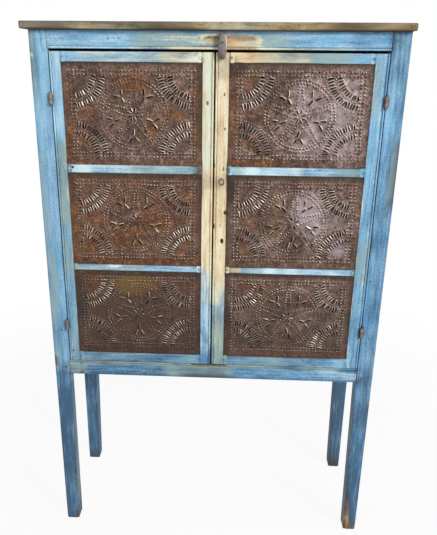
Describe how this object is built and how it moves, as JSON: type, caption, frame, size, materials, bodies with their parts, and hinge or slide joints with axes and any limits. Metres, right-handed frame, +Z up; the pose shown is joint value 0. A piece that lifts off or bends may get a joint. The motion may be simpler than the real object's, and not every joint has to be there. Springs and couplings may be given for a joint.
{
  "type": "pie safe",
  "caption": "Tall pie safe on tapered legs, with paired doors of pierced tin panels in beaded wooden frames, inner shelves and a wooden turn button.",
  "frame": {"origin": "on the floor, under the middle of the top boards' outline", "axes": "+Z up, the doors face -Y, +X to the right as seen from the front"},
  "size_m": [0.9604, 0.392, 1.5088],
  "materials": {
    "blue_paint_on_pine": "worn milk paint",
    "bare_pine": "weathered, unpainted",
    "tinplate": "rusted and pierced",
    "old_iron": "dull, partly painted"
  },
  "bodies": {
    "case": {"back_board_1": "bare_pine", "back_board_2": "bare_pine", "back_board_3": "bare_pine", "back_board_4": "bare_pine", "case_hinge_leaves": "old_iron", "case_hinge_screws": "old_iron", "case_nails": "old_iron", "case_pegs": "blue_paint_on_pine", "cleats_lower": "bare_pine", "cleats_upper": "bare_pine", "floor_board": "bare_pine", "hinge_pins": "old_iron", "post_front_left": "blue_paint_on_pine", "post_front_right": "blue_paint_on_pine", "post_rear_left": "blue_paint_on_pine", "post_rear_right": "blue_paint_on_pine", "rail_front_bottom": "blue_paint_on_pine", "rail_front_top": "blue_paint_on_pine", "rail_left_bottom": "blue_paint_on_pine", "rail_left_top": "blue_paint_on_pine", "rail_rear_bottom": "blue_paint_on_pine", "rail_rear_top": "blue_paint_on_pine", "rail_right_bottom": "blue_paint_on_pine", "rail_right_top": "blue_paint_on_pine", "shelf_lower": "bare_pine", "shelf_upper": "bare_pine", "side_panel_left": "blue_paint_on_pine", "side_panel_right": "blue_paint_on_pine", "top_board_front": "bare_pine", "top_board_rear": "bare_pine", "turn_button_screw": "old_iron"},
    "left_door": {"inside_button_screw": "old_iron", "left_door_bottom_rail": "blue_paint_on_pine", "left_door_hinge_leaves": "old_iron", "left_door_hinge_screws": "old_iron", "left_door_hinge_stile": "blue_paint_on_pine", "left_door_lower_mid_rail": "blue_paint_on_pine", "left_door_lower_tin": "tinplate", "left_door_meeting_stile": "blue_paint_on_pine", "left_door_middle_tin": "tinplate", "left_door_pegs": "blue_paint_on_pine", "left_door_tacks": "old_iron", "left_door_top_rail": "blue_paint_on_pine", "left_door_upper_mid_rail": "blue_paint_on_pine", "left_door_upper_tin": "tinplate"},
    "right_door": {"right_door_bottom_rail": "blue_paint_on_pine", "right_door_hinge_leaves": "old_iron", "right_door_hinge_screws": "old_iron", "right_door_hinge_stile": "blue_paint_on_pine", "right_door_lower_mid_rail": "blue_paint_on_pine", "right_door_lower_tin": "tinplate", "right_door_meeting_stile": "blue_paint_on_pine", "right_door_middle_tin": "tinplate", "right_door_pegs": "blue_paint_on_pine", "right_door_tacks": "old_iron", "right_door_top_rail": "blue_paint_on_pine", "right_door_upper_mid_rail": "blue_paint_on_pine", "right_door_upper_tin": "tinplate"},
    "turn_button": {"turn_button": "bare_pine"},
    "inside_button": {"inside_button": "bare_pine"}
  },
  "joints": [
    {"name": "left_door_swing", "type": "hinge", "parent": "case", "child": "left_door", "pos_m": [-0.4173, -0.1809, 1.0116], "axis": [0, 0, -1], "range_deg": [0, 170]},
    {"name": "right_door_swing", "type": "hinge", "parent": "case", "child": "right_door", "pos_m": [0.4278, -0.1809, 1.0116], "axis": [0, 0, 1], "range_deg": [0, 170]},
    {"name": "turn_button_turn", "type": "hinge", "parent": "case", "child": "turn_button", "pos_m": [0.0175, -0.1829, 1.4625], "axis": [0, 1, 0], "range_deg": [-100, 100]},
    {"name": "inside_button_turn", "type": "hinge", "parent": "left_door", "child": "inside_button", "pos_m": [-0.023, -0.1471, 1.4202], "axis": [0, 1, 0], "range_deg": [0, 180]}
  ]
}
